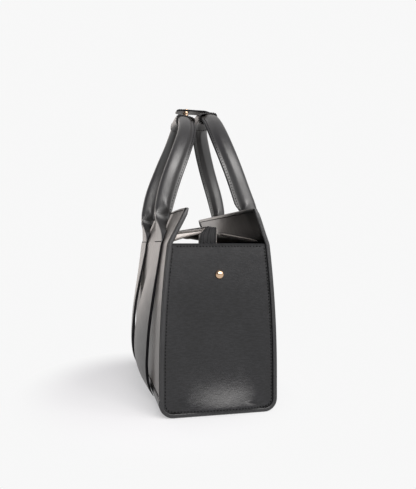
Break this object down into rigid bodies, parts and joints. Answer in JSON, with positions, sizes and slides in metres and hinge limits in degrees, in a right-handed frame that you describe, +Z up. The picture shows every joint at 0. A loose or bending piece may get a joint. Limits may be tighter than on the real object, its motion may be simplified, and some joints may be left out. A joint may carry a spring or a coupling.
{
  "type": "tote bag",
  "caption": "Structured leather-look tote with two folded carrying handles, a snap tab between them, inward-leaning top walls and a recessed zip closure.",
  "frame": {"origin": "middle of the base, on the surface that the bag stands on", "axes": "+X along the bag's length, towards the end with the zip's tail; +Y from the front to the back; +Z up"},
  "size_m": [0.3016, 0.1666, 0.3727],
  "materials": {
    "body_leather": "fine pebbled grain, satin black",
    "inner_leather": "smooth grain, satin black",
    "strap_leather": "fine grain, satin black, rounded at the folds",
    "edge_trim": "edge-painted black binding",
    "lining_cloth": "black woven lining",
    "stiffener_board": "plain grey board, hidden",
    "handle_cord": "cord filler, hidden",
    "zip_cloth": "black woven tape",
    "zip_teeth": "black moulded teeth",
    "gold_metal": "polished pale gold plating"
  },
  "bodies": {
    "bag_body": {"front_panel": "body_leather", "back_panel": "body_leather", "base_panel": "body_leather", "base_board": "stiffener_board", "right_gusset": "body_leather", "left_gusset": "body_leather", "right_edge_binding": "edge_trim", "left_edge_binding": "edge_trim", "front_facing": "inner_leather", "back_facing": "inner_leather", "lining": "lining_cloth", "front_right_strap": "strap_leather", "front_left_strap": "strap_leather", "back_right_strap": "strap_leather", "back_left_strap": "strap_leather", "right_side_stud": "gold_metal", "left_side_stud": "gold_metal", "right_stud_washer": "gold_metal", "left_stud_washer": "gold_metal"},
    "front_handle": {"front_handle_band": "strap_leather", "front_handle_core": "handle_cord", "front_grip_sleeve": "strap_leather", "right_snap_stud": "gold_metal", "left_snap_stud": "gold_metal"},
    "back_handle": {"back_handle_band": "strap_leather", "back_handle_core": "handle_cord", "back_grip_sleeve": "strap_leather", "tab_base": "strap_leather"},
    "snap_tab": {"snap_tab": "strap_leather", "right_snap_cap": "gold_metal", "left_snap_cap": "gold_metal", "right_snap_socket": "gold_metal", "left_snap_socket": "gold_metal"},
    "front_zip_flap": {"front_zip_flap": "inner_leather", "front_zip_tape": "zip_cloth", "front_zip_teeth": "zip_teeth"},
    "back_zip_flap": {"back_zip_flap": "inner_leather", "back_zip_tape": "zip_cloth", "back_zip_teeth": "zip_teeth", "zip_tail": "zip_cloth"},
    "zip_slider": {"zip_slider": "gold_metal"},
    "zip_pull": {"zip_pull": "gold_metal"}
  },
  "joints": [
    {"name": "front_handle_swing", "type": "hinge", "parent": "bag_body", "child": "front_handle", "pos_m": [0, -0.0594, 0.1935], "axis": [1, 0, 0], "range_deg": [0, 150]},
    {"name": "back_handle_swing", "type": "hinge", "parent": "bag_body", "child": "back_handle", "pos_m": [0, 0.0594, 0.1935], "axis": [-1, 0, 0], "range_deg": [0, 150]},
    {"name": "snap_tab_lift", "type": "hinge", "parent": "back_handle", "child": "snap_tab", "pos_m": [0, 0.0052, 0.37078], "axis": [-1, 0, 0], "range_deg": [0, 150]},
    {"name": "front_flap_lift", "type": "hinge", "parent": "bag_body", "child": "front_zip_flap", "pos_m": [0, -0.0513, 0.1915], "axis": [1, 0, 0], "range_deg": [0, 40]},
    {"name": "back_flap_lift", "type": "hinge", "parent": "bag_body", "child": "back_zip_flap", "pos_m": [0, 0.0513, 0.1915], "axis": [-1, 0, 0], "range_deg": [0, 40]},
    {"name": "zip_slide", "type": "slide", "parent": "back_zip_flap", "child": "zip_slider", "axis": [1, 0, 0], "range_m": [0, 0.249]},
    {"name": "zip_pull_swing", "type": "hinge", "parent": "zip_slider", "child": "zip_pull", "pos_m": [-0.1239, -0.006, 0.2125], "axis": [0, -1, 0], "range_deg": [0, 170]}
  ]
}
